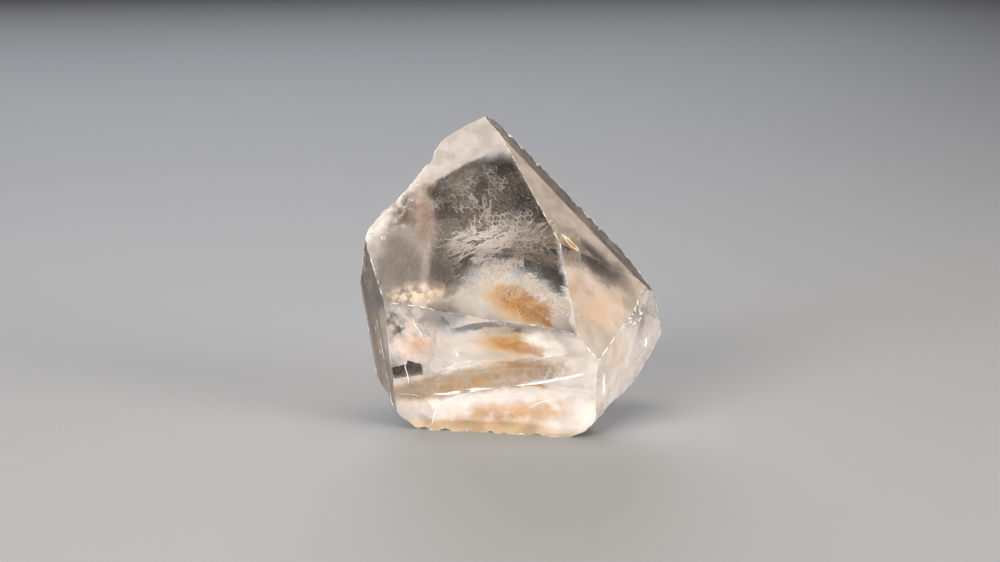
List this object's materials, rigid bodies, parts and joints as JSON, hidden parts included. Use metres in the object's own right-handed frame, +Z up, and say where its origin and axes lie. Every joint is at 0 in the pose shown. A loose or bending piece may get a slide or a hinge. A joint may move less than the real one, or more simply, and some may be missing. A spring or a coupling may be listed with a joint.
{
  "type": "quartz crystal",
  "caption": "Broken lump of clear quartz with a sloping front face, scarred lower front, striated right edge and a flat foot to rest on.",
  "frame": {"origin": "middle of the lump's box, at the level of the flat foot that it rests on", "axes": "+Z up, -Y out of the great sloping front face, +X to the blunt right-hand point"},
  "size_m": [0.0308, 0.0234, 0.0307],
  "materials": {
    "quartz": "natural crystal and fracture surface, clear to milky with iron staining inside"
  },
  "bodies": {
    "root": {"quartz_crystal": "quartz"}
  },
  "joints": []
}
